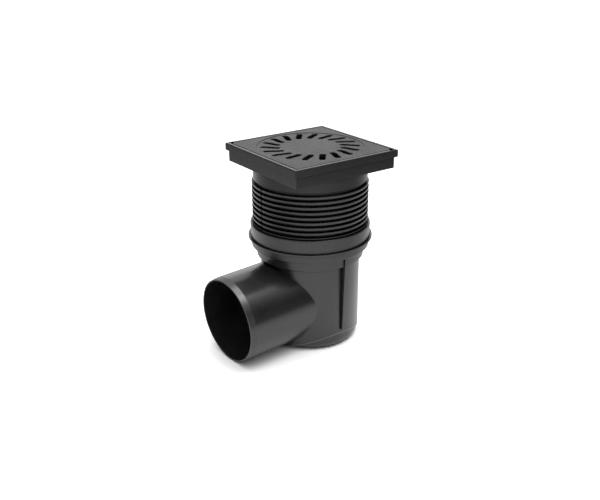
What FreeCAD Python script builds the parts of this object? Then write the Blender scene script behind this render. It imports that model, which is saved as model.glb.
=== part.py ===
import FreeCAD, Part
import os
import re
from math import atan2, cos, pi, radians, sin, sqrt

import Sketcher
from FreeCAD import Placement, Rotation, Vector

# Floor drain with a square grate, a ribbed riser and a side outlet, in millimetres.
# The origin is on the body's axis at the underside of its foot, with +Z up.
# The outlet points along -X and falls a little towards its mouth.

doc = FreeCAD.newDocument("floor_drain")

# Driving dimensions

SIZES = {
    # outlet spigot, which sets the width of the chamber
    "outlet_radius": 55.0,
    "outlet_wall": 2.8,
    "outlet_length": 133.7,
    "outlet_insertion": 50.0,
    "outlet_draft": 0.3,
    "outlet_lead_length": 8.0,
    "outlet_lead_depth": 1.2,
    "outlet_fall": 2.0,
    "outlet_floor_gap": 0.03,
    # chamber and foot of the moulded body
    "wall": 3.0,
    "chamber_margin": 6.4,
    "chamber_floor": 8.0,
    "foot_inset": 1.2,
    "foot_rounding": 12.0,
    "foot_rim": 5.2,
    "foot_recess_depth": 2.5,
    "foot_pad_radius": 20.0,
    "trough_radius": 120.0,
    "trough_edge_height": 20.0,
    # bands, ledge and socket, each measured from the one below it
    "crown_gap": 0.3,
    "lower_band_height": 13.9,
    "lower_band_step": 4.8,
    "upper_band_height": 10.0,
    "upper_band_step": 6.8,
    "band_rounding": 0.7,
    "ledge_thickness": 2.0,
    "ledge_reach": 2.9,
    "socket_step": 1.0,
    "socket_depth": 17.5,
    "socket_wall": 2.5,
    "socket_rounding": 0.8,
    # stiffening fins at right angles to the outlet
    "fin_thickness": 2.8,
    "fin_start": 6.0,
    "fin_bottom_reach": 3.2,
    "fin_lip": 2.3,
    # ribbed tube of the riser
    "riser_clearance": 0.35,
    "riser_dip": 0.9,
    "riser_height": 117.5,
    "riser_turn": 2.7,
    "tube_wall": 2.7,
    "tube_end": 1.0,
    "rib_depth": 3.4,
    "rib_pitch": 6.53,
    "rib_land_share": 0.09,
    "rib_drop_share": 0.475,
    "rib_curve_share": 0.766,
    "rib_slot_width": 2.0,
    # neck, square box and square frame of the riser, from the tube upwards
    "neck_groove": 4.3,
    "neck_height": 14.6,
    "neck_inset": 1.7,
    "box_height": 14.5,
    "box_margin": 1.3,
    "box_wall": 4.0,
    "box_floor": 3.0,
    "frame_height": 9.0,
    "frame_reach": 3.45,
    "frame_rim": 4.2,
    "frame_rounding": 1.2,
    "lift_notch_width": 6.5,
    "lift_notch_depth": 4.0,
    "lift_notch_inset": 5.0,
    "lift_notch_skin": 1.4,
    # rubber ring in the riser's lowest groove
    "seal_clearance": 0.3,
    "seal_crown": 0.4,
    # grate
    "grate_gap": 1.7,
    "grate_sink": 0.1,
    "grate_thickness": 5.0,
    "grate_corner_cut": 4.0,
    "grate_rib_depth": 5.0,
    "grate_rib_wall": 2.0,
    "dish_margin": 4.5,
    "dish_depth": 0.4,
    "slot_margin": 8.8,
    "slot_length": 25.2,
    "slot_width": 7.8,
    "slot_end_swirl": 10.0,
    "slot_mid_swirl": 27.0,
    # water trap insert
    "trap_clearance": 0.6,
    "trap_seal_thickness": 3.0,
    "trap_plate_thickness": 3.0,
    "trap_wall": 2.4,
    "trap_cone_drop": 16.0,
    "trap_water_gap": 16.6,
    "trap_bar_width": 6.0,
    "trap_bar_height": 8.0,
    "dip_gap": 20.6,
    "overflow_gap": 25.3,
    "cup_gap": 15.4,
    "cup_floor_gap": 16.0,
    "cup_strap_gap": 7.4,
    "cup_strap_width": 10.0,
    "cup_strap_hold": 28.0,
}

SLOT_COUNT = 18
SLOT_FIRST_ANGLE = 10.5
CUP_STRAP_COUNT = 3

sheet = doc.addObject("Spreadsheet::Sheet", "Sizes")
for row, (alias, value) in enumerate(SIZES.items(), start=1):
    sheet.set("A%d" % row, alias)
    sheet.set("B%d" % row, str(value))
    sheet.setAlias("B%d" % row, alias)
doc.recompute()


def sheet_word(found):
    """A word of a formula, as a reference where the sheet has it."""
    word = found.group()
    return "Sizes." + word if word in SIZES else word


def cell(formula):
    """Turn the sheet's words into references, so that formulas stay short to read."""
    return re.sub("[a-z_]+", sheet_word, formula)


def number(formula):
    """The value of a formula of the sheet."""
    return float(sheet.evalExpression(cell(formula)))


# Helpers for sketches and features


def origin_plane(body, role):
    """One of a body's own origin planes."""
    return [item for item in body.Origin.OriginFeatures if item.Role == role][0]


def new_sketch(body, name, plane, level=None):
    """A sketch on an origin plane, lifted along the plane's normal by a formula."""
    sketch = body.newObject("Sketcher::SketchObject", name)
    sketch.AttachmentSupport = [(origin_plane(body, plane), "")]
    sketch.MapMode = "FlatFace"
    if level is not None:
        sketch.setExpression("AttachmentOffset.Base.z", cell(level))
    return sketch


def bind(sketch, constraint, formula):
    """Add a driving constraint whose value follows a formula of the sheet."""
    index = sketch.addConstraint(constraint)
    sketch.setExpression("Constraints[%d]" % index, cell(formula))


def place_vertex(sketch, line, across, up):
    """Tie the first point of a line to its two formulas, measured from the origin."""
    for kind, formula, axis in (("DistanceX", across, -2), ("DistanceY", up, -1)):
        if formula == "0":
            sketch.addConstraint(Sketcher.Constraint("PointOnObject", line, 1, axis))
        else:
            value = number(formula)
            bind(sketch, Sketcher.Constraint(kind, -1, 1, line, 1, value), formula)


def arc_between(start, end, radius):
    """The shorter counter-clockwise arc of a given radius from one point to another."""
    chord = end - start
    rise = sqrt(radius ** 2 - (chord.Length / 2) ** 2)
    centre = (start + end) / 2 + Vector(-chord.y, chord.x, 0) * (rise / chord.Length)
    first, last = [atan2(point.y - centre.y, point.x - centre.x) for point in (start, end)]
    if last < first:
        last += 2 * pi
    return Part.ArcOfCircle(Part.Circle(centre, Vector(0, 0, 1), radius), first, last)


def draw_polygon(sketch, vertices):
    """A closed outline of formula pairs; a third formula is the radius of an arc to the next one."""
    points = [Vector(number(vertex[0]), number(vertex[1]), 0) for vertex in vertices]
    count = len(points)
    for index, vertex in enumerate(vertices):
        start, end = points[index], points[(index + 1) % count]
        curved = len(vertex) == 3
        side = arc_between(start, end, number(vertex[2])) if curved else Part.LineSegment(start, end)
        sketch.addGeometry(side)
    for index in range(count):
        sketch.addConstraint(Sketcher.Constraint("Coincident", index, 2, (index + 1) % count, 1))
    for index, vertex in enumerate(vertices):
        place_vertex(sketch, index, vertex[0], vertex[1])
        if len(vertex) == 3:
            bind(sketch, Sketcher.Constraint("Radius", index, number(vertex[2])), vertex[2])


def draw_square(sketch, side):
    """A square centred on the origin."""
    half = number(side) / 2
    corners = [Vector(x * half, y * half, 0) for x, y in ((-1, -1), (1, -1), (1, 1), (-1, 1))]
    for index in range(4):
        sketch.addGeometry(Part.LineSegment(corners[index], corners[(index + 1) % 4]))
    for index in range(4):
        sketch.addConstraint(Sketcher.Constraint("Coincident", index, 2, (index + 1) % 4, 1))
    for index, kind in enumerate(("Horizontal", "Vertical", "Horizontal", "Vertical")):
        sketch.addConstraint(Sketcher.Constraint(kind, index))
    sketch.addConstraint(Sketcher.Constraint("Symmetric", 0, 1, 2, 1, -1, 1))
    bind(sketch, Sketcher.Constraint("DistanceX", 0, 1, 0, 2, 2 * half), side)
    bind(sketch, Sketcher.Constraint("DistanceY", 1, 1, 1, 2, 2 * half), side)


def draw_circle(sketch, radius):
    """A circle centred on the origin."""
    index = sketch.addGeometry(Part.Circle(Vector(), Vector(0, 0, 1), number(radius)))
    sketch.addConstraint(Sketcher.Constraint("Coincident", index, 3, -1, 1))
    bind(sketch, Sketcher.Constraint("Radius", index, number(radius)), radius)


def revolved(name, vertices):
    """A body turned about Z from an outline of radius and height formulas."""
    body = doc.addObject("PartDesign::Body", name)
    sketch = new_sketch(body, name + "_outline", "XZ_Plane")
    draw_polygon(sketch, vertices)
    turn = body.newObject("PartDesign::Revolution", name + "_turn")
    turn.Profile = sketch
    turn.ReferenceAxis = (sketch, ["V_Axis"])
    turn.Angle = 360
    doc.recompute()
    return body


def extrude(body, kind, name, sketch, length):
    """A pad or a pocket of a sketch, with its length bound to a formula."""
    feature = body.newObject("PartDesign::" + kind, name)
    feature.Profile = sketch
    feature.setExpression("Length", cell(length))
    doc.recompute()
    return feature


def cylinder(name, radius, height, level):
    """An upright cylinder on the axis."""
    item = doc.addObject("Part::Cylinder", name)
    item.setExpression("Radius", cell(radius))
    item.setExpression("Height", cell(height))
    item.setExpression("Placement.Base.z", cell(level))
    return item


def block(name, length, width, height, corner):
    """A box whose lower corner follows three formulas."""
    box = doc.addObject("Part::Box", name)
    for label, formula in zip(("Length", "Width", "Height"), (length, width, height)):
        box.setExpression(label, cell(formula))
    for axis, formula in zip("xyz", corner):
        box.setExpression("Placement.Base." + axis, cell(formula))
    return box


def boolean(kind, name, base, tool):
    """A cut or a common of two objects."""
    item = doc.addObject("Part::" + kind, name)
    item.Base = base
    item.Tool = tool
    return item


def fuse(name, pieces):
    """One solid from several objects."""
    item = doc.addObject("Part::MultiFuse", name)
    item.Shapes = pieces
    item.Refine = True
    return item


def circular_edge(shape, radius, height):
    """The name of the circle of a given radius at a given height."""
    for index, edge in enumerate(shape.Edges, start=1):
        if not isinstance(edge.Curve, Part.Circle):
            continue
        if abs(edge.Curve.Radius - radius) < 1e-6 and abs(edge.Curve.Center.z - height) < 1e-6:
            return "Edge%d" % index
    raise ValueError("no circle of radius %g at height %g" % (radius, height))


def round_edges(body, name, edges, rounding):
    """Round the named edges of a body's last feature."""
    base = body.Tip
    feature = body.newObject("PartDesign::Fillet", name)
    feature.Base = (base, edges)
    feature.setExpression("Radius", cell(rounding))
    doc.recompute()


def round_circle(body, name, radius, height, rounding):
    """Round one circular edge of a body."""
    edge = circular_edge(body.Tip.Shape, number(radius), number(height))
    round_edges(body, name, [edge], rounding)


# Moulded body

CHAMBER_RADIUS = "(outlet_radius + chamber_margin)"
WALL_RADIUS = "(%s + wall)" % CHAMBER_RADIUS
FOOT_RADIUS = "(%s - foot_inset)" % WALL_RADIUS
LOWER_BAND_RADIUS = "(%s + lower_band_step)" % WALL_RADIUS
UPPER_BAND_RADIUS = "(%s + upper_band_step)" % LOWER_BAND_RADIUS
SOCKET_RADIUS = "(%s + socket_step)" % UPPER_BAND_RADIUS
LEDGE_RADIUS = "(%s + ledge_reach)" % SOCKET_RADIUS
LOWER_BORE = "(%s - wall)" % LOWER_BAND_RADIUS
UPPER_BORE = "(%s - wall)" % UPPER_BAND_RADIUS
SOCKET_BORE = "(%s - socket_wall)" % SOCKET_RADIUS

OUTLET_AXIS = "(outlet_radius + outlet_length * sin(1 deg * outlet_fall) + outlet_floor_gap)"
LOWER_BAND_START = "(%s + outlet_radius + crown_gap)" % OUTLET_AXIS
UPPER_BAND_START = "(%s + lower_band_height)" % LOWER_BAND_START
LEDGE_START = "(%s + upper_band_height)" % UPPER_BAND_START
LEDGE_TOP = "(%s + ledge_thickness)" % LEDGE_START
SOCKET_TOP = "(%s + socket_depth)" % LEDGE_TOP
LOWER_SHOULDER = "(%s + wall)" % LOWER_BAND_START
UPPER_SHOULDER = "(%s + wall)" % UPPER_BAND_START

LEAD_START = "(outlet_length - outlet_lead_length)"
INSERTION_START = "(%s - outlet_insertion)" % LEAD_START


def along_outlet(item, start):
    """Lay an item along the falling outlet axis, at a distance from the body's axis."""
    item.Placement = Placement(Vector(), Rotation(Vector(0, -1, 0), 90 + number("outlet_fall")))
    item.setExpression("Placement.Rotation.Angle", cell("90 + outlet_fall"))
    item.setExpression("Placement.Base.x", cell("0 - cos(1 deg * outlet_fall) * %s" % start))
    drop = "sin(1 deg * outlet_fall) * %s" % start
    item.setExpression("Placement.Base.z", cell("%s - %s" % (OUTLET_AXIS, drop)))
    return item


def outlet_bar(name, radius, length, start):
    """A round bar along the outlet."""
    bar = doc.addObject("Part::Cylinder", name)
    bar.setExpression("Radius", cell(radius))
    bar.setExpression("Height", cell(length))
    return along_outlet(bar, start)


def outlet_taper(name, wide, narrow, length, start):
    """A round bar along the outlet that gets thinner towards the mouth."""
    taper = doc.addObject("Part::Cone", name)
    taper.setExpression("Radius1", cell(wide))
    taper.setExpression("Radius2", cell(narrow))
    taper.setExpression("Height", cell(length))
    return along_outlet(taper, start)


def outlet():
    """The spigot: a drafted root, the true cylinder that enters a socket, and a tapered lead."""
    return [
        outlet_taper("outlet_root", "outlet_radius + outlet_draft", "outlet_radius",
                     INSERTION_START, "0"),
        outlet_bar("outlet_spigot", "outlet_radius", "outlet_insertion", INSERTION_START),
        outlet_taper("outlet_lead", "outlet_radius", "outlet_radius - outlet_lead_depth",
                     "outlet_lead_length", LEAD_START),
    ]


def body_fin(name, quarter_turn):
    """A tapered fin from above the foot up to the underside of the upper band."""
    body = doc.addObject("PartDesign::Body", name)
    sketch = new_sketch(body, name + "_outline", "XZ_Plane")
    root = CHAMBER_RADIUS + " + wall / 2"
    bottom = "trough_edge_height + fin_start"
    draw_polygon(sketch, [
        (root, bottom),
        (WALL_RADIUS + " + fin_bottom_reach", bottom),
        (LOWER_BAND_RADIUS + " + fin_lip", UPPER_BAND_START),
        (root, UPPER_BAND_START),
    ])
    pad = extrude(body, "Pad", name + "_pad", sketch, "fin_thickness")
    pad.Midplane = True
    body.Placement = Placement(Vector(), Rotation(Vector(0, 0, 1), quarter_turn))
    return body


def body_walls():
    """The turned outside of the body, ended below on a trough that lies along the outlet."""
    shell = revolved("body_shell", [
        ("0", "0"),
        (WALL_RADIUS, "0"),
        (WALL_RADIUS, LOWER_BAND_START),
        (LOWER_BAND_RADIUS, LOWER_BAND_START),
        (LOWER_BAND_RADIUS, UPPER_BAND_START),
        (UPPER_BAND_RADIUS, UPPER_BAND_START),
        (UPPER_BAND_RADIUS, LEDGE_START),
        (LEDGE_RADIUS, LEDGE_START),
        (LEDGE_RADIUS, LEDGE_TOP),
        (SOCKET_RADIUS, LEDGE_TOP),
        (SOCKET_RADIUS, SOCKET_TOP),
        ("0", SOCKET_TOP),
    ])
    round_circle(shell, "socket_rim_rounding", SOCKET_RADIUS, SOCKET_TOP, "socket_rounding")
    round_circle(shell, "lower_band_rounding", LOWER_BAND_RADIUS, LOWER_BAND_START,
                 "band_rounding")
    round_circle(shell, "upper_band_rounding", UPPER_BAND_RADIUS, UPPER_BAND_START,
                 "band_rounding")

    trough = doc.addObject("Part::Cylinder", "trough_floor")
    trough.setExpression("Radius", cell("trough_radius"))
    trough.setExpression("Height", cell("2 * " + LEDGE_RADIUS))
    trough.Placement = Placement(Vector(), Rotation(Vector(0, 1, 0), 90))
    trough.setExpression("Placement.Base.x", cell("0 - " + LEDGE_RADIUS))
    rise = "sqrt(trough_radius ^ 2 - %s ^ 2)" % WALL_RADIUS
    trough.setExpression("Placement.Base.z", cell("trough_edge_height + " + rise))
    column = cylinder("trough_column", LEDGE_RADIUS, SOCKET_TOP + " - " + OUTLET_AXIS, OUTLET_AXIS)
    return boolean("Common", "shell_walls", shell, fuse("shell_keep", [trough, column]))


def drain_body():
    """Chamber, stepped bands, ledge, socket, foot, fins and outlet, moulded as one piece."""
    foot = revolved("body_foot", [
        ("0", "0"),
        (FOOT_RADIUS, "0"),
        (FOOT_RADIUS, OUTLET_AXIS),
        ("0", OUTLET_AXIS),
    ])
    round_circle(foot, "foot_edge_rounding", FOOT_RADIUS, "0", "foot_rounding")
    fins = [body_fin("body_fin_near", -90), body_fin("body_fin_far", 90)]
    solid = fuse("body_solid", [body_walls(), foot] + outlet() + fins)

    cavity = revolved("body_cavity", [
        ("0", "chamber_floor"),
        (CHAMBER_RADIUS, "chamber_floor"),
        (CHAMBER_RADIUS, LOWER_SHOULDER),
        (LOWER_BORE, LOWER_SHOULDER),
        (LOWER_BORE, UPPER_SHOULDER),
        (UPPER_BORE, UPPER_SHOULDER),
        (UPPER_BORE, LEDGE_START),
        (SOCKET_BORE, LEDGE_START),
        (SOCKET_BORE, SOCKET_TOP),
        ("0", SOCKET_TOP),
    ])
    bore = outlet_bar("outlet_bore", "outlet_radius - outlet_wall", "outlet_length + outlet_wall", "0")
    recess_radius = FOOT_RADIUS + " - foot_rounding - foot_rim"
    recess = revolved("foot_recess", [
        ("foot_pad_radius", "0"),
        (recess_radius, "0"),
        (recess_radius, "foot_recess_depth"),
        ("foot_pad_radius", "foot_recess_depth"),
    ])
    return boolean("Cut", "drain_body", solid, fuse("body_hollows", [cavity, bore, recess]))


# Riser with its square frame

RIB_RADIUS = "(%s - riser_clearance)" % SOCKET_BORE
CORE_RADIUS = "(%s - rib_depth)" % RIB_RADIUS
TUBE_BORE = "(%s - tube_wall)" % CORE_RADIUS
NECK_RADIUS = "(%s - neck_inset)" % RIB_RADIUS
BOX_SIDE = "(2 * %s + 2 * box_margin)" % NECK_RADIUS
FRAME_SIDE = "(%s + 2 * frame_reach)" % BOX_SIDE
RECESS_SIDE = "(%s - 2 * frame_rim)" % FRAME_SIDE
GRATE_SIDE = "(%s - 2 * grate_gap)" % RECESS_SIDE

RISER_LEVEL = "(%s - riser_dip)" % LEDGE_START
FRAME_BOTTOM = "(riser_height - frame_height)"
BOX_BOTTOM = "(%s - box_height)" % FRAME_BOTTOM
NECK_BOTTOM = "(%s - neck_height)" % BOX_BOTTOM
GRATE_TOP = "(riser_height - grate_sink)"
GRATE_SEAT = "(%s - grate_thickness)" % GRATE_TOP

RIB_LAND = "(rib_land_share * rib_pitch)"
RIB_CURVE = "(rib_curve_share * rib_pitch)"
RIB_DROP = "(rib_drop_share * rib_pitch)"
RIB_LEAN = "(%s - sqrt(%s ^ 2 - %s ^ 2))" % (RIB_CURVE, RIB_CURVE, RIB_DROP)
RIB_HEIGHT = "(%s + %s)" % (RIB_LAND, RIB_DROP)
RIB_ROOM = "(%s - neck_groove - %s - tube_end)" % (NECK_BOTTOM, RIB_HEIGHT)
RIB_COUNT = 1 + int(number(RIB_ROOM) / number("rib_pitch"))


def rib_top(index):
    """Height of the upper edge of a rib above the riser's lower end."""
    return "(%s - neck_groove - %d * rib_pitch)" % (NECK_BOTTOM, index)


def rib_bottom(index):
    """Height of the lower edge of a rib above the riser's lower end."""
    return "(%s - %s)" % (rib_top(index), RIB_HEIGHT)


def ribbed_outline():
    """The riser's turned section: each rib has a sharp upper edge and curves in below it."""
    vertices = [(TUBE_BORE, "0"), (CORE_RADIUS, "0")]
    for index in reversed(range(RIB_COUNT)):
        vertices += [
            (CORE_RADIUS, rib_bottom(index)),
            ("%s - %s" % (RIB_RADIUS, RIB_LEAN), rib_bottom(index), RIB_CURVE),
            (RIB_RADIUS, "%s - %s" % (rib_top(index), RIB_LAND)),
            (RIB_RADIUS, rib_top(index)),
            (CORE_RADIUS, rib_top(index)),
        ]
    vertices += [
        (CORE_RADIUS, NECK_BOTTOM),
        (NECK_RADIUS, NECK_BOTTOM),
        (NECK_RADIUS, BOX_BOTTOM + " + box_floor"),
        (TUBE_BORE, BOX_BOTTOM + " + box_floor"),
    ]
    return vertices


def turned_with_frame(item):
    """Set an item of the riser at its height in the socket, turned with the square frame."""
    item.Placement = Placement(Vector(), Rotation(Vector(0, 0, -1), number("riser_turn")))
    item.setExpression("Placement.Rotation.Angle", cell("riser_turn"))
    item.setExpression("Placement.Base.z", cell(RISER_LEVEL))


def outer_edges(shape, side, top):
    """Names of a square block's upright edges at its corners and of its edges at the top."""
    half = side / 2
    found = []
    for index, edge in enumerate(shape.Edges, start=1):
        ends = [vertex.Point for vertex in edge.Vertexes]
        if len(ends) != 2 or any(abs(max(abs(p.x), abs(p.y)) - half) > 1e-6 for p in ends):
            continue
        upright = all(abs(abs(p.x) - half) + abs(abs(p.y) - half) < 1e-6 for p in ends)
        upright = upright and abs(ends[0].z - ends[1].z) > 1e-6
        if upright or all(abs(p.z - top) < 1e-6 for p in ends):
            found.append("Edge%d" % index)
    return found


def square_feature(body, kind, name, side, level, length):
    """A square pad upwards from a level, or a square pocket downwards from it."""
    sketch = new_sketch(body, name + "_square", "XY_Plane", level)
    draw_square(sketch, side)
    return extrude(body, kind, name, sketch, length)


def riser_cuts():
    """Parting slots through the ribs on two sides, and a lifting pocket in the rim at two corners."""
    lowest = rib_bottom(RIB_COUNT - 1)
    height = "%s - %s" % (rib_top(0), lowest)
    slots = [
        block("rib_slot_" + side, "2 * rib_depth", "rib_slot_width", height,
              (start, "0 - rib_slot_width / 2", lowest))
        for side, start in (("near", "0 - %s - 2 * rib_depth" % CORE_RADIUS), ("far", CORE_RADIUS))
    ]
    reach = "(frame_rim - lift_notch_skin)"
    across = reach + " + grate_gap"
    floor = "riser_height - lift_notch_depth"
    corner = "%s / 2 - lift_notch_inset" % FRAME_SIDE
    pockets = [
        block("lift_pocket_near", "lift_notch_width", across, "2 * lift_notch_depth",
              (corner + " - lift_notch_width", "0 - %s / 2 - %s" % (RECESS_SIDE, reach), floor)),
        block("lift_pocket_far", "lift_notch_width", across, "2 * lift_notch_depth",
              ("0 - (%s)" % corner, "%s / 2 - grate_gap" % RECESS_SIDE, floor)),
    ]
    return slots + pockets


def riser():
    """Ribbed tube, neck, square box and square frame, moulded as one piece."""
    body = revolved("riser_moulding", ribbed_outline())
    square_feature(body, "Pad", "box_block", BOX_SIDE, BOX_BOTTOM, "box_height")
    square_feature(body, "Pad", "frame_block", FRAME_SIDE, FRAME_BOTTOM, "frame_height")
    edges = outer_edges(body.Tip.Shape, number(FRAME_SIDE), number("riser_height"))
    round_edges(body, "frame_edge_rounding", edges, "frame_rounding")
    square_feature(body, "Pocket", "grate_recess", RECESS_SIDE, "riser_height",
                   "grate_thickness + grate_sink")
    square_feature(body, "Pocket", "box_hollow", BOX_SIDE + " - 2 * box_wall", GRATE_SEAT,
                   "%s - %s - box_floor" % (GRATE_SEAT, BOX_BOTTOM))
    hole = new_sketch(body, "neck_hole_circle", "XY_Plane", GRATE_SEAT)
    draw_circle(hole, TUBE_BORE)
    extrude(body, "Pocket", "neck_hole", hole, "frame_height + box_height")
    moulded = boolean("Cut", "riser", body, fuse("riser_cutters", riser_cuts()))
    turned_with_frame(moulded)
    return moulded


# Rubber ring between the riser and the socket


def riser_seal():
    """A ring with a crowned outer side in the groove above the riser's lowest rib."""
    top = rib_bottom(RIB_COUNT - 2) + " - seal_clearance"
    bottom = rib_top(RIB_COUNT - 1) + " + seal_clearance"
    inner = CORE_RADIUS + " + seal_clearance"
    outer = SOCKET_BORE + " - seal_clearance"
    ring = revolved("riser_seal", [
        (inner, bottom),
        (outer + " - seal_crown", bottom),
        (outer, "(%s + %s) / 2" % (top, bottom)),
        (outer + " - seal_crown", top),
        (inner, top),
    ])
    ring.setExpression("Placement.Base.z", cell(RISER_LEVEL))
    return ring


# Grate

SLOT_OUTER_RADIUS = "(%s / 2 - slot_margin)" % GRATE_SIDE
SLOT_INNER_RADIUS = "(%s - slot_length)" % SLOT_OUTER_RADIUS


def slot_face():
    """One slot of the grate: an S-shaped band with round ends, near the +X axis."""
    half_width = number("slot_width") / 2
    inner = number(SLOT_INNER_RADIUS) + half_width
    outer = number(SLOT_OUTER_RADIUS) - half_width
    middle = Vector((inner + outer) / 2, 0, 0)
    steep = radians(number("slot_mid_swirl"))
    gentle = radians(number("slot_end_swirl"))
    mean = (steep + gentle) / 2
    chord = (outer - inner) / 2 / cos(mean)
    bend = chord / (2 * sin((steep - gentle) / 2))
    centre = middle + Vector(sin(steep), cos(steep), 0) * bend

    def on_arc(radius, swirl):
        return centre - Vector(sin(swirl), cos(swirl), 0) * radius

    def opposite(point):
        return middle * 2 - point

    swirls = (steep, mean, gentle)
    left = [on_arc(bend - half_width, swirl) for swirl in swirls]
    right = [on_arc(bend + half_width, swirl) for swirl in swirls]
    tip = on_arc(bend, gentle) + Vector(cos(gentle), -sin(gentle), 0) * half_width
    arcs = [
        left,
        [left[2], tip, right[2]],
        right[::-1],
        [opposite(point) for point in left],
        [opposite(left[2]), opposite(tip), opposite(right[2])],
        [opposite(point) for point in right[::-1]],
    ]
    return Part.Face(Part.Wire([Part.Arc(*points).toShape() for points in arcs]))


def slot_cutters():
    """All the slots of the grate, as one group of upright blades."""
    depth = number("grate_thickness + 2 * grate_rib_depth")
    low = number(GRATE_SEAT) - number("grate_rib_depth")
    blade = slot_face().extrude(Vector(0, 0, depth))
    blade.translate(Vector(0, 0, low))
    blades = []
    for index in range(SLOT_COUNT):
        turned = blade.copy()
        turned.rotate(Vector(), Vector(0, 0, 1), SLOT_FIRST_ANGLE + index * 360 / SLOT_COUNT)
        blades.append(turned)
    cutters = doc.addObject("Part::Feature", "slot_cutters")
    cutters.Shape = Part.makeCompound(blades)
    return cutters


def corner_cutter(name, quarter_turn):
    """A prism that takes off one corner of the grate for a lifting tool."""
    body = doc.addObject("PartDesign::Body", name)
    sketch = new_sketch(body, name + "_outline", "XY_Plane", GRATE_SEAT)
    half = "%s / 2" % GRATE_SIDE
    draw_polygon(sketch, [
        (half + " - grate_corner_cut", half + " + grate_gap"),
        (half + " - grate_corner_cut", half),
        (half, half + " - grate_corner_cut"),
        (half + " + grate_gap", half + " - grate_corner_cut"),
        (half + " + grate_gap", half + " + grate_gap"),
    ])
    extrude(body, "Pad", name + "_pad", sketch, "grate_thickness")
    body.Placement = Placement(Vector(), Rotation(Vector(0, 0, 1), quarter_turn))
    return body


def grate_rib(name, radius):
    """A stiffening ring under the grate."""
    level = GRATE_SEAT + " - grate_rib_depth"
    outer = cylinder(name + "_outer", radius + " + grate_rib_wall", "grate_rib_depth", level)
    inner = cylinder(name + "_inner", radius, "grate_rib_depth", level)
    return boolean("Cut", name, outer, inner)


def grate():
    """Square plate with a shallow round dish, a ring of swirled slots and ribs below."""
    body = doc.addObject("PartDesign::Body", "grate_plate")
    square_feature(body, "Pad", "plate_block", GRATE_SIDE, GRATE_SEAT, "grate_thickness")
    dish = new_sketch(body, "dish_circle", "XY_Plane", GRATE_TOP)
    draw_circle(dish, SLOT_OUTER_RADIUS + " + dish_margin")
    extrude(body, "Pocket", "dish", dish, "dish_depth")
    inner_rib = grate_rib("grate_inner_rib", SLOT_INNER_RADIUS + " - 2 * grate_rib_wall")
    outer_rib = grate_rib("grate_outer_rib", SLOT_OUTER_RADIUS + " + grate_rib_wall")
    solid = fuse("grate_solid", [body, inner_rib, outer_rib])
    corners = [corner_cutter("corner_cut_near", -90), corner_cutter("corner_cut_far", 90)]
    plate = boolean("Cut", "grate", solid, fuse("grate_cutters", [slot_cutters()] + corners))
    turned_with_frame(plate)
    return plate


# Water trap insert

TRAP_RADIUS = "(%s - trap_clearance)" % LOWER_BORE
CUP_RADIUS = "(%s - cup_gap)" % CHAMBER_RADIUS
DIP_RADIUS = "(%s - trap_wall - trap_water_gap)" % CUP_RADIUS
STRAP_RADIUS = "(%s - cup_strap_gap)" % CHAMBER_RADIUS
STRAP_THICKNESS = "(2 * trap_wall)"
CONE_RADIUS = "(%s - %s - trap_clearance)" % (STRAP_RADIUS, STRAP_THICKNESS)

TRAP_SEAL_TOP = "(%s + trap_seal_thickness)" % LOWER_SHOULDER
TRAP_PLATE_TOP = "(%s + trap_plate_thickness)" % TRAP_SEAL_TOP
CUP_BOTTOM = "(chamber_floor + cup_floor_gap)"
CUP_RIM = "(%s - overflow_gap)" % TRAP_SEAL_TOP
DIP_END = "(%s + trap_wall + dip_gap)" % CUP_BOTTOM


def trap_seal():
    """Flat rubber ring on the shoulder below the socket."""
    inner = CHAMBER_RADIUS + " + trap_clearance"
    return revolved("trap_seal", [
        (inner, LOWER_SHOULDER),
        (TRAP_RADIUS, LOWER_SHOULDER),
        (TRAP_RADIUS, TRAP_SEAL_TOP),
        (inner, TRAP_SEAL_TOP),
    ])


def trap_funnel():
    """Flange, cone and dip tube, with a bar across the mouth to lift the trap by."""
    funnel = revolved("funnel_shell", [
        (DIP_RADIUS + " - trap_wall", DIP_END),
        (DIP_RADIUS, DIP_END),
        (DIP_RADIUS, TRAP_SEAL_TOP + " - trap_cone_drop"),
        (CONE_RADIUS, TRAP_SEAL_TOP),
        (TRAP_RADIUS, TRAP_SEAL_TOP),
        (TRAP_RADIUS, TRAP_PLATE_TOP),
        (CONE_RADIUS + " - trap_wall", TRAP_PLATE_TOP),
        (DIP_RADIUS + " - trap_wall", TRAP_PLATE_TOP + " - trap_cone_drop"),
    ])
    slope = "(%s - %s) / trap_cone_drop" % (CONE_RADIUS, DIP_RADIUS)
    sunk = "(trap_bar_height - trap_plate_thickness)"
    half = "(%s - %s * %s - trap_wall / 2)" % (CONE_RADIUS, slope, sunk)
    bar = block("funnel_bar", "2 * " + half, "trap_bar_width", "trap_bar_height",
                ("0 - " + half, "0 - trap_bar_width / 2", TRAP_PLATE_TOP + " - trap_bar_height"))
    return fuse("trap_funnel", [funnel, bar])


def cup_strap(index):
    """A strap that hangs the cup from the funnel's flange."""
    body = doc.addObject("PartDesign::Body", "cup_strap_%d" % index)
    sketch = new_sketch(body, "cup_strap_outline_%d" % index, "XZ_Plane")
    start = CUP_RIM + " - cup_strap_hold"
    draw_polygon(sketch, [
        (CUP_RADIUS + " - trap_wall / 2", start),
        (CUP_RADIUS + " + trap_wall / 2", start),
        (STRAP_RADIUS, CUP_RIM),
        (STRAP_RADIUS, TRAP_SEAL_TOP),
        (STRAP_RADIUS + " - " + STRAP_THICKNESS, TRAP_SEAL_TOP),
        (CUP_RADIUS + " - trap_wall / 2", CUP_RIM),
    ])
    pad = extrude(body, "Pad", "cup_strap_pad_%d" % index, sketch, "cup_strap_width")
    pad.Midplane = True
    turn = (index + 0.5) * 360 / CUP_STRAP_COUNT
    body.Placement = Placement(Vector(), Rotation(Vector(0, 0, 1), turn))
    return body


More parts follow.
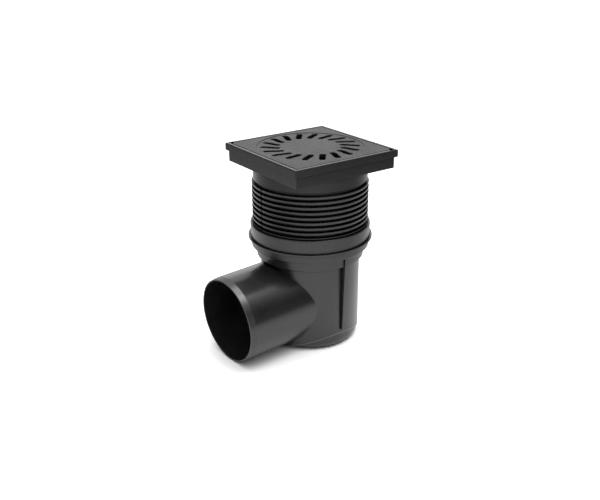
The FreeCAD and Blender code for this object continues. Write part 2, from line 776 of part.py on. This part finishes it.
def trap_cup():
    """The cup that keeps the water seal round the dip tube."""
    cup = revolved("cup_shell", [
        ("0", CUP_BOTTOM),
        (CUP_RADIUS, CUP_BOTTOM),
        (CUP_RADIUS, CUP_RIM),
        (CUP_RADIUS + " - trap_wall", CUP_RIM),
        (CUP_RADIUS + " - trap_wall", CUP_BOTTOM + " + trap_wall"),
        ("0", CUP_BOTTOM + " + trap_wall"),
    ])
    return fuse("trap_cup", [cup] + [cup_strap(index) for index in range(CUP_STRAP_COUNT)])


# Build, check and write

parts = [drain_body(), riser(), riser_seal(), grate(), trap_funnel(), trap_seal(), trap_cup()]
doc.recompute()

for item in doc.Objects:
    if "Invalid" in item.State or "Error" in item.State:
        raise RuntimeError("%s failed: %s" % (item.Name, item.State))
for part in parts:
    if part.Shape.isNull() or not part.Shape.isValid():
        raise RuntimeError("%s has no valid shape" % part.Label)

os.makedirs("parts", exist_ok=True)
for part in parts:
    part.Shape.exportStep("parts/%s.step" % part.Label)
    box = part.Shape.BoundBox
    print("%-12s solids %d volume %.0f mm3 z %.2f to %.2f"
          % (part.Label, len(part.Shape.Solids), part.Shape.Volume, box.ZMin, box.ZMax))
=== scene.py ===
from math import cos, radians, sin

import bpy
from mathutils import Matrix

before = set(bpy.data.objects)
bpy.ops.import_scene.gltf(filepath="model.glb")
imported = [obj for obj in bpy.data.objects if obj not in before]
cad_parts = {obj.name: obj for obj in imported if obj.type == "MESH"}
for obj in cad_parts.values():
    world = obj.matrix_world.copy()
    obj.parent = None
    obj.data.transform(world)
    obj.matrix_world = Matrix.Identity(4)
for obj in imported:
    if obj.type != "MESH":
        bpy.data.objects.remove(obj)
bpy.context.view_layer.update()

scene = bpy.context.scene
scene.view_settings.view_transform = "Standard"


# Camera, from the vanishing of the frame's edges and the ellipses of the round parts

CAMERA_PLACE = (-0.5920, -0.7284, 0.5084)
CAMERA_RIGHT = (0.78397, -0.62079, -0.00311)
CAMERA_UP = (0.24200, 0.30100, 0.92241)
CAMERA_BACK = (-0.57169, -0.72389, 0.38620)
CAMERA_LENS = 46.56
SENSOR_WIDTH = 36.0
NEAREST_SEEN = 0.01
FARTHEST_SEEN = 20.0

camera_data = bpy.data.cameras.new("camera")
camera_data.lens = CAMERA_LENS
camera_data.sensor_width = SENSOR_WIDTH
camera_data.sensor_fit = "HORIZONTAL"
camera_data.clip_start = NEAREST_SEEN
camera_data.clip_end = FARTHEST_SEEN
camera = bpy.data.objects.new("camera", camera_data)
turn = Matrix((CAMERA_RIGHT, CAMERA_UP, CAMERA_BACK)).transposed()
camera.matrix_world = Matrix.Translation(CAMERA_PLACE) @ turn.to_4x4()
scene.collection.objects.link(camera)
scene.camera = camera


# Shader nodes

NOISE_ROUGHNESS = 0.55
WHITE = (1.0, 1.0, 1.0, 1.0)

# Numbers of the colour sockets on a mix node
MIX_SHARE, MIX_FIRST, MIX_SECOND, MIX_RESULT = 0, 6, 7, 2


class Nodes:
    """The nodes of a material or of the world, with short ways to add and join them."""

    def __init__(self, owner):
        owner.use_nodes = True
        self.owner = owner
        self.tree = owner.node_tree
        self.tree.nodes.clear()

    def add(self, kind, **inputs):
        """A new node, with its inputs given by name and an underscore for each space."""
        node = self.tree.nodes.new(kind)
        for key, value in inputs.items():
            self.put(node, key.replace("_", " "), value)
        return node

    def put(self, node, key, value):
        """Join another node's output to an input, or set the input to a plain value."""
        if isinstance(value, bpy.types.NodeSocket):
            self.tree.links.new(value, node.inputs[key])
        else:
            node.inputs[key].default_value = value

    def noise(self, place, scale, detail):
        node = self.add("ShaderNodeTexNoise", Vector=place, Scale=scale, Detail=detail,
                        Roughness=NOISE_ROUGHNESS)
        return node.outputs["Fac"]

    def ramp(self, value, span, ends=(0.0, 1.0)):
        """A value carried over from a span to two ends, and held beyond them."""
        node = self.add("ShaderNodeMapRange", Value=value, From_Min=span[0], From_Max=span[1],
                        To_Min=ends[0], To_Max=ends[1])
        return node.outputs["Result"]

    def steps(self, value, places, levels):
        """A level read from a row of levels at rising places, straight between them."""
        node = self.add("ShaderNodeValToRGB", Fac=value)
        marks = node.color_ramp.elements
        for place in places[len(marks):]:
            marks.new(place)
        for mark, place, level in zip(marks, places, levels):
            mark.position = place
            mark.color = grey(level)
        return node.outputs["Color"]

    def math(self, operation, first, second):
        node = self.add("ShaderNodeMath")
        node.operation = operation
        self.put(node, 0, first)
        self.put(node, 1, second)
        return node.outputs[0]

    def product(self, first, *others):
        for other in others:
            first = self.math("MULTIPLY", first, other)
        return first

    def vector(self, operation, first, second=None):
        node = self.add("ShaderNodeVectorMath")
        node.operation = operation
        self.put(node, 0, first)
        if second is not None:
            self.put(node, 1, second)
        return node.outputs["Value" if operation in ("LENGTH", "DOT_PRODUCT") else "Vector"]

    def blend(self, share, first, second):
        node = self.add("ShaderNodeMix")
        node.data_type = "RGBA"
        self.put(node, MIX_SHARE, share)
        self.put(node, MIX_FIRST, first)
        self.put(node, MIX_SECOND, second)
        return node.outputs[MIX_RESULT]

    def seen(self):
        """1 for what the camera sees, straight or through something clear, and 0 otherwise."""
        rays = self.add("ShaderNodeLightPath").outputs
        return self.math("MAXIMUM", rays["Is Camera Ray"], rays["Is Transmission Ray"])


def grey(level):
    """A neutral colour."""
    return (level, level, level, 1.0)


def direction(azimuth, height=0.0):
    """The unit vector at an azimuth from +X towards +Y and a height, in degrees."""
    along, up = radians(azimuth), radians(height)
    return (cos(up) * cos(along), cos(up) * sin(along), sin(up))


# Plastic and rubber

# Noise scales per metre: broad clouds and dust specks; the fine skin has its own in each look
CLOUD_SCALE, CLOUD_DETAIL = 22.0, 4.0
SPECK_SCALE, SPECK_DETAIL = 900.0, 1.0
SKIN_DETAIL = 2.0

# Tone: how far it varies with the clouds, and how much paler dust makes it
TONE_CLOUD, TONE_LOW, TONE_HIGH = (0.3, 0.7), 0.85, 1.15
DUST_SPECK, DUST_SHARE, DUST_TONE = (0.62, 0.72), 0.12, 3.0

# Painted shade in gaps: how far round a point is looked, the open shares from shut to free, and
# the tone left in the painted shade
GAP_REACH, GAP_SAMPLES = 0.005, 8
GAP_SPAN, GAP_SHADE_TONE = (0.4, 0.9), 0.1

# Edges painted lighter, partly as wear and partly as painted highlight: cosines of the softened
# face's lean, from flat to lightened, and how far clouds vary it
EDGE_SAMPLES, EDGE_LEAN = 4, (0.995, 0.86)
WEAR_HIGHLIGHT_CLOUD, WEAR_HIGHLIGHT_SHARE = (0.2, 0.6), (0.5, 1.0)

# Gloss: roughness varies with the clouds, and the reflection with the skin
GLOSS_CLOUD, GLOSS_SPREAD = (0.25, 0.75), 0.05
SHINE_SKIN, SHINE = (0.3, 0.7), 0.5
COAT_ROUGHNESS = 0.2

# Top faces: cosines of the lean at which a face starts to count as one, and counts in full
TOP_LEAN, UPWARD = (0.95, 0.99), (0.0, 0.0, 1.0)

# Painted highlight along the wall's lower edge: the trough's axis, the distances from it at which
# the light line comes and goes, and the distances from the upright axis between which the wall's
# face lies
TROUGH_AXIS = (0.0, 0.0, 0.12125)
TROUGH_RADIUS = 0.120
HIGHLIGHT_COMES = (TROUGH_RADIUS - 0.0013, TROUGH_RADIUS - 0.0008)
HIGHLIGHT_GOES = (TROUGH_RADIUS + 0.0003, TROUGH_RADIUS)
WALL_COMES = (0.0639, 0.0642)
WALL_GOES = (0.0660, 0.0656)
ACROSS_TROUGH = (0.0, 1.0, 1.0)
ACROSS_WALL = (1.0, 1.0, 0.0)
HIGHLIGHT_TONE = 0.11


def wall_edge_highlight(n, place):
    """A thin painted highlight along the wall's lower edge, where the wall ends on a round
    trough.
    """
    from_axis = n.vector("SUBTRACT", place, TROUGH_AXIS)
    depth = n.vector("LENGTH", n.vector("MULTIPLY", from_axis, ACROSS_TROUGH))
    out = n.vector("LENGTH", n.vector("MULTIPLY", place, ACROSS_WALL))
    return n.product(n.ramp(depth, HIGHLIGHT_COMES), n.ramp(out, WALL_COMES),
                     n.ramp(out, WALL_GOES), n.ramp(depth, HIGHLIGHT_GOES))


def moulded_plastic(name, tone, edge_wear_and_highlight, index, rough, grain, grain_depth, edge_radius,
                    coat=0.0, mottle=0.05, painted_edge_highlight=False, top_gloss=1.0):
    """Plastic or rubber: uneven gloss, a fine skin, painted shade in gaps, and edges painted
    lighter as wear and as painted highlight.
    """
    n = Nodes(bpy.data.materials.new(name))
    place = n.add("ShaderNodeTexCoord").outputs["Object"]
    cloud = n.noise(place, CLOUD_SCALE, CLOUD_DETAIL)
    skin = n.noise(place, grain, SKIN_DETAIL)
    speck = n.noise(place, SPECK_SCALE, SPECK_DETAIL)

    shelter = n.add("ShaderNodeAmbientOcclusion", Distance=GAP_REACH)
    shelter.samples = GAP_SAMPLES
    free = n.ramp(shelter.outputs["AO"], GAP_SPAN)
    bevel = n.add("ShaderNodeBevel", Radius=edge_radius)
    bevel.samples = EDGE_SAMPLES
    soft = bevel.outputs["Normal"]
    flat = n.add("ShaderNodeNewGeometry").outputs["Normal"]
    edge = n.ramp(n.vector("DOT_PRODUCT", soft, flat), EDGE_LEAN)
    rubbed_and_highlit = n.product(edge, free, n.ramp(cloud, WEAR_HIGHLIGHT_CLOUD, WEAR_HIGHLIGHT_SHARE))
    dusty = n.product(n.ramp(speck, DUST_SPECK), DUST_SHARE)

    colour = n.blend(n.ramp(cloud, TONE_CLOUD), grey(tone * TONE_LOW), grey(tone * TONE_HIGH))
    colour = n.blend(dusty, colour, grey(tone * DUST_TONE))
    # Edges painted lighter: partly wear, partly painted highlight
    colour = n.blend(rubbed_and_highlit, colour, grey(edge_wear_and_highlight))
    # Painted shade: gaps and recesses darkened where little around them is open
    colour = n.blend(free, grey(tone * GAP_SHADE_TONE), colour)
    # Painted highlight: a thin light line on the wall's lower edge
    if painted_edge_highlight:
        colour = n.blend(wall_edge_highlight(n, place), colour, grey(HIGHLIGHT_TONE))

    if top_gloss < 1.0:
        level = n.vector("DOT_PRODUCT", flat, UPWARD)
        free = n.product(free, n.ramp(level, TOP_LEAN, (1.0, top_gloss)))
    gloss = n.ramp(cloud, GLOSS_CLOUD, (rough - GLOSS_SPREAD, rough + GLOSS_SPREAD))
    shine = n.ramp(skin, SHINE_SKIN, (SHINE * (1.0 - mottle), SHINE * (1.0 + mottle)))
    relief = n.add("ShaderNodeBump", Height=skin, Strength=1.0, Distance=grain_depth, Normal=soft)
    # The gap mask also weakens the reflection in gaps, as painted shade on the gloss
    shader = n.add("ShaderNodeBsdfPrincipled", Base_Color=colour, Roughness=gloss, IOR=index,
                   Specular_IOR_Level=n.product(free, shine), Normal=relief.outputs["Normal"])
    if coat:
        n.put(shader, "Coat Weight", n.product(free, coat))
        n.put(shader, "Coat Roughness", COAT_ROUGHNESS)
    n.add("ShaderNodeOutputMaterial", Surface=shader.outputs[0])
    return n.owner


RUBBER = dict(tone=0.012, edge_wear_and_highlight=0.02, index=1.50, rough=0.62,
              grain=700.0, grain_depth=0.00003, edge_radius=0.0004)
TRAP_PLASTIC = dict(tone=0.25, edge_wear_and_highlight=0.30, index=1.50, rough=0.42,
                    grain=500.0, grain_depth=0.00001, edge_radius=0.0005)
LOOKS = {
    "drain_body": moulded_plastic(
        "body_black", tone=0.013, edge_wear_and_highlight=0.10, index=1.56, rough=0.30,
        grain=500.0, grain_depth=0.00001, edge_radius=0.0006, coat=0.5, painted_edge_highlight=True),
    "riser": moulded_plastic(
        "riser_black", tone=0.010, edge_wear_and_highlight=0.02, index=1.59, rough=0.30,
        grain=500.0, grain_depth=0.00001, edge_radius=0.0005, coat=0.25, top_gloss=0.6),
    "grate": moulded_plastic(
        "grate_black", tone=0.012, edge_wear_and_highlight=0.03, index=1.58, rough=0.45,
        grain=700.0, grain_depth=0.00012, edge_radius=0.0009, mottle=0.7),
    "riser_seal": moulded_plastic("ring_rubber", **RUBBER),
    "trap_funnel": moulded_plastic("trap_grey", **TRAP_PLASTIC),
    "trap_cup": moulded_plastic("cup_grey", **TRAP_PLASTIC),
    "trap_seal": moulded_plastic("flat_rubber", **RUBBER),
}
for node, material in LOOKS.items():
    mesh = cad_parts[node].data
    mesh.materials.clear()
    mesh.materials.append(material)


# Floor

FLOOR_REACH = 6.0
FLOOR_CORNERS = ((-1, -1), (1, -1), (1, 1), (-1, 1))
FIBRE_SCALE, FIBRE_DETAIL = 60.0, 3.0
PAPER, PAPER_SPREAD = 0.9, 0.01
PAPER_SEEN = 1.6

# The lit table as the gloss shows it, painted into the paper's colour for glossy rays: distances
# from the upright axis in metres, and for each of four sides its azimuth and the paper's painted
# colour at those distances
TABLE_RINGS = (0.10, 0.22, 0.42, 0.75, 1.50)
TABLE_SIDES = (
    (232, (1.08, 1.08, 1.08, 0.62, 0.00)),
    (322, (1.08, 0.88, 0.66, 0.24, 0.00)),
    (52, (0.80, 0.70, 0.70, 0.85, 0.30)),
    (142, (0.90, 0.50, 0.90, 0.30, 0.20)),
)


def floor_material():
    """White paper that keeps the shadow: white to the camera, and to the gloss a painted
    reflection of the lit table.
    """
    n = Nodes(bpy.data.materials.new("floor_white"))
    place = n.add("ShaderNodeTexCoord").outputs["Object"]
    fibre = n.noise(place, FIBRE_SCALE, FIBRE_DETAIL)
    paper = n.blend(fibre, grey(PAPER - PAPER_SPREAD), grey(PAPER + PAPER_SPREAD))

    farthest = TABLE_RINGS[-1]
    rings = [ring / farthest for ring in TABLE_RINGS]
    away = n.math("DIVIDE", n.vector("LENGTH", place), farthest)
    side = n.vector("NORMALIZE", place)
    table = 0.0
    for azimuth, levels in TABLE_SIDES:
        facing = n.vector("DOT_PRODUCT", side, direction(azimuth))
        share = n.math("MAXIMUM", facing, 0.0)
        table = n.math("ADD", n.product(share, share, n.steps(away, rings, levels)), table)

    mirrored = n.add("ShaderNodeLightPath").outputs["Is Glossy Ray"]
    colour = n.blend(n.seen(), n.blend(mirrored, paper, table), grey(PAPER_SEEN))
    diffuse = n.add("ShaderNodeBsdfDiffuse", Color=colour)
    n.add("ShaderNodeOutputMaterial", Surface=diffuse.outputs[0])
    return n.owner


floor_mesh = bpy.data.meshes.new("floor")
floor_mesh.from_pydata(
    [(x * FLOOR_REACH, y * FLOOR_REACH, 0.0) for x, y in FLOOR_CORNERS], [], [(0, 1, 2, 3)])
floor_mesh.materials.append(floor_material())
floor = bpy.data.objects.new("floor", floor_mesh)
scene.collection.objects.link(floor)


# Studio light

# Soft round patches of sky: azimuth, height, strength at the middle, sharpness
SKY_PATCHES = (
    (0, 82, 2.10, 16), (305, 70, 6.60, 60), (40, 78, 3.50, 60),
    (51, 54, 0.92, 16), (103, 54, 0.58, 16), (154, 54, 0.64, 16),
    (206, 54, 1.40, 16), (257, 54, 1.32, 16), (309, 54, 0.60, 16),
    (45, 30, 0.26, 16), (75, 30, 0.42, 16),
    (51, 6, 1.46, 16), (268, 6, 0.88, 16),
)

world = bpy.data.worlds.new("studio")
scene.world = world
sky = Nodes(world)
towards = sky.add("ShaderNodeTexCoord").outputs["Generated"]
strength = 0.0
for azimuth, height, level, sharpness in SKY_PATCHES:
    facing = sky.vector("DOT_PRODUCT", towards, direction(azimuth, height))
    patch = sky.math("POWER", sky.math("MAXIMUM", facing, 0.0), sharpness)
    strength = sky.math("ADD", sky.product(patch, level), strength)
strength = sky.math("MAXIMUM", sky.seen(), strength)
background = sky.add("ShaderNodeBackground", Color=WHITE, Strength=strength)
sky.add("ShaderNodeOutputWorld", Surface=background.outputs[0])
